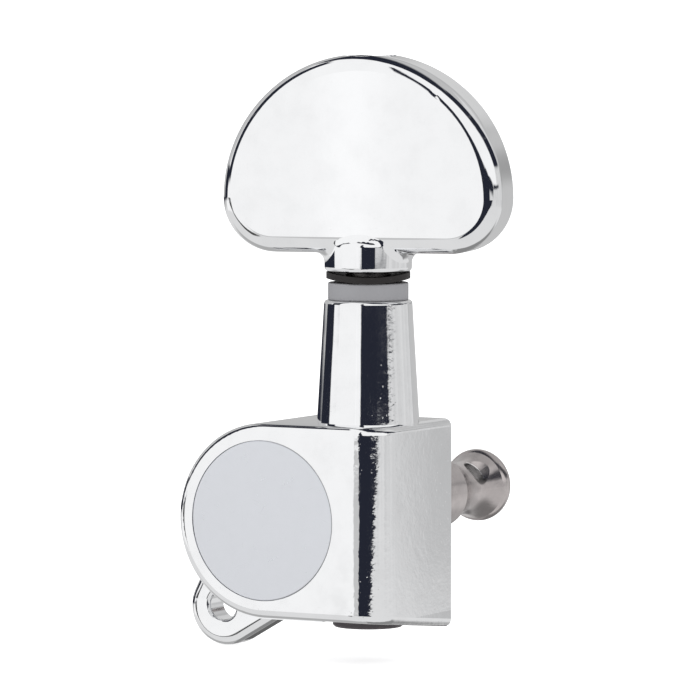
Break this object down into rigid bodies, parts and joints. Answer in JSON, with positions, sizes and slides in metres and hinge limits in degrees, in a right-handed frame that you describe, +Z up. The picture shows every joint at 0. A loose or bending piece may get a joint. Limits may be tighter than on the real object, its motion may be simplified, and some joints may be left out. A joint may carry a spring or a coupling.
{
  "type": "guitar tuning machine",
  "caption": "Sealed tuning machine for a guitar: half-moon button on a worm shaft, closed gear housing with a screw ear, and a waisted string post.",
  "frame": {"origin": "on the string post's axis, in the plane of the seat that lies on the back of the headstock", "axes": "+Y along the string post, away from the gear cover; +Z up along the worm shaft towards the button; +X from the post's axis towards the worm shaft"},
  "size_m": [0.0304, 0.0383, 0.0485],
  "materials": {
    "chrome": "polished chrome plate over a zinc casting, fine orange peel and a few pits",
    "satin_cover": "satin plate with faint scratches",
    "dark_plug": "blackened plug",
    "post_plate": "turned and plated, slightly warm",
    "grey_nylon": "moulded grey nylon",
    "black_steel": "blackened spring steel",
    "wheel_brass": "cut brass, greased",
    "plain_steel": "turned or blanked steel",
    "white_nylon": "moulded nylon",
    "seal_rubber": "soft black rubber",
    "screw_plate": "plated screw head"
  },
  "bodies": {
    "housing": {"housing": "chrome", "gear_cover": "satin_cover", "worm_end_plug": "dark_plug", "post_bush": "white_nylon", "post_washer": "plain_steel", "neck_bush": "white_nylon", "worm_upper_washer": "plain_steel", "worm_lower_washer": "plain_steel", "nylon_washer": "grey_nylon"},
    "post": {"string_post": "post_plate", "worm_wheel": "wheel_brass", "wheel_screw": "plain_steel", "wheel_lock_washer": "plain_steel", "wheel_thrust_washer": "plain_steel", "post_seal_ring": "seal_rubber"},
    "worm": {"worm_shaft": "plain_steel", "button": "chrome", "neck_seal_ring": "seal_rubber", "spring_washer": "black_steel", "button_screw_washer": "white_nylon"},
    "tension_screw": {"button_screw": "screw_plate"}
  },
  "joints": [
    {"name": "button_turn", "type": "hinge", "parent": "housing", "child": "worm", "pos_m": [0.00632, -0.0061, 0], "axis": [0, 0, 1], "continuous": true},
    {"name": "post_turn", "type": "hinge", "parent": "housing", "child": "post", "pos_m": [0, 0, 0], "axis": [0, 1, 0], "continuous": true},
    {"name": "tension_screw_turn", "type": "hinge", "parent": "worm", "child": "tension_screw", "pos_m": [0.00632, -0.0061, 0.0367], "axis": [0, 0, 1], "range_deg": [-90, 90]}
  ],
  "couplings": [
    {"joint": "post_turn", "follows": "button_turn", "ratio": 0.066667}
  ]
}
